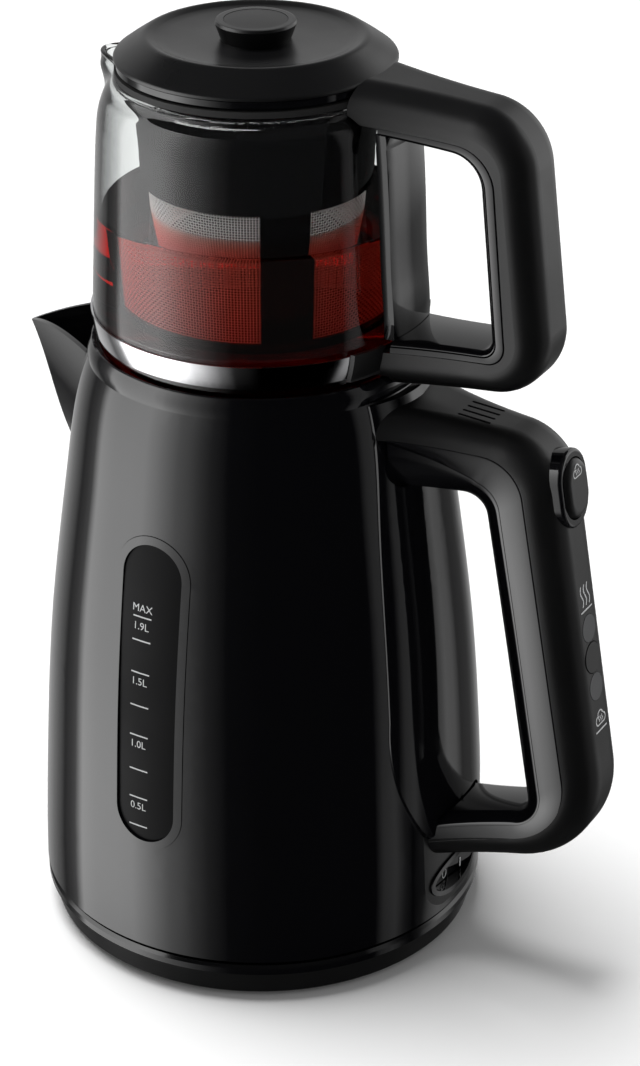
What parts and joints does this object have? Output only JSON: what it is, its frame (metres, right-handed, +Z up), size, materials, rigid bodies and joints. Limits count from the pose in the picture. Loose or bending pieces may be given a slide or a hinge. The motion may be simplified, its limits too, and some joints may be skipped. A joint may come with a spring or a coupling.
{
  "type": "electric tea maker",
  "caption": "Electric kettle on a turning power base with a glass teapot, strainer and lid stacked in its mouth.",
  "frame": {"origin": "on the table, under the axis of the power base", "axes": "+Z up along the axis, +X towards both handles, -X towards the spout, -Y towards the water window"},
  "size_m": [0.2472, 0.1724, 0.3581],
  "materials": {
    "gloss_black": "high gloss moulded plastic",
    "satin_black": "fine matt moulded plastic",
    "clear_glass": "clear borosilicate glass",
    "smoked_window": "smoked clear plastic",
    "chrome_band": "polished",
    "steel_plate": "pressed stainless steel",
    "steel_mesh": "fine woven stainless mesh",
    "zinc_steel": "zinc plated",
    "aluminium": "cast and drawn",
    "black_rubber": "soft feet",
    "silicone": "food grade silicone",
    "board_green": "circuit board"
  },
  "bodies": {
    "base": {"base_shell": "satin_black", "base_deck": "gloss_black", "base_plug": "satin_black", "base_feet": "black_rubber", "base_screws": "zinc_steel"},
    "coupler": {"kettle_socket": "satin_black"},
    "kettle": {"kettle_shell": "gloss_black", "spout": "gloss_black", "mouth_ring": "satin_black", "window_bezel": "gloss_black", "water_window": "smoked_window", "bottom_cover": "satin_black", "cover_screws": "zinc_steel", "heating_plate": "steel_plate", "plate_seal": "silicone", "diffuser": "aluminium", "boil_element": "aluminium", "warm_element": "aluminium", "controller": "satin_black", "handle_grip": "satin_black", "handle_band": "gloss_black", "handle_liner": "gloss_black", "handle_mount": "gloss_black", "button_collar": "satin_black", "lamp_lenses": "smoked_window", "circuit_board": "board_green", "switch_panel": "satin_black", "switch_bezel": "gloss_black", "switch_body": "satin_black"},
    "boil_button": {"boil_button": "satin_black"},
    "keep_warm_button": {"keep_warm_button": "satin_black"},
    "rocker": {"rocker": "satin_black"},
    "teapot": {"glass_jug": "clear_glass", "jug_band": "chrome_band", "band_clamp": "satin_black", "pot_grip": "satin_black", "pot_band": "gloss_black", "pot_liner": "gloss_black", "pot_strap": "satin_black"},
    "strainer": {"strainer_frame": "gloss_black", "strainer_mesh": "steel_mesh", "strainer_gasket": "black_rubber"},
    "lid": {"lid_shell": "gloss_black", "lid_plug": "satin_black", "lid_knob": "satin_black", "knob_cap": "satin_black"}
  },
  "joints": [
    {"name": "kettle_lift", "type": "slide", "parent": "base", "child": "coupler", "axis": [0, 0, 1], "range_m": [0, 0.06]},
    {"name": "kettle_turn", "type": "hinge", "parent": "coupler", "child": "kettle", "pos_m": [0, 0, 0.025], "axis": [0, 0, 1], "continuous": true},
    {"name": "boil_press", "type": "slide", "parent": "kettle", "child": "boil_button", "axis": [-0.9861, 0, -0.1664], "range_m": [0, 0.0025], "stiffness_N_per_m": 500, "springref_m": -0.001},
    {"name": "keep_warm_press", "type": "slide", "parent": "kettle", "child": "keep_warm_button", "axis": [-0.9861, 0, -0.1664], "range_m": [0, 0.0009], "stiffness_N_per_m": 900, "springref_m": -0.0004},
    {"name": "switch_tilt", "type": "hinge", "parent": "kettle", "child": "rocker", "pos_m": [0.081, 0, 0.0314], "axis": [0, 0, 1], "range_deg": [0, 14]},
    {"name": "teapot_lift", "type": "slide", "parent": "kettle", "child": "teapot", "axis": [0, 0, 1], "range_m": [0, 0.06]},
    {"name": "strainer_lift", "type": "slide", "parent": "teapot", "child": "strainer", "axis": [0, 0, 1], "range_m": [0, 0.09]},
    {"name": "lid_lift", "type": "slide", "parent": "strainer", "child": "lid", "axis": [0, 0, 1], "range_m": [0, 0.04]}
  ]
}
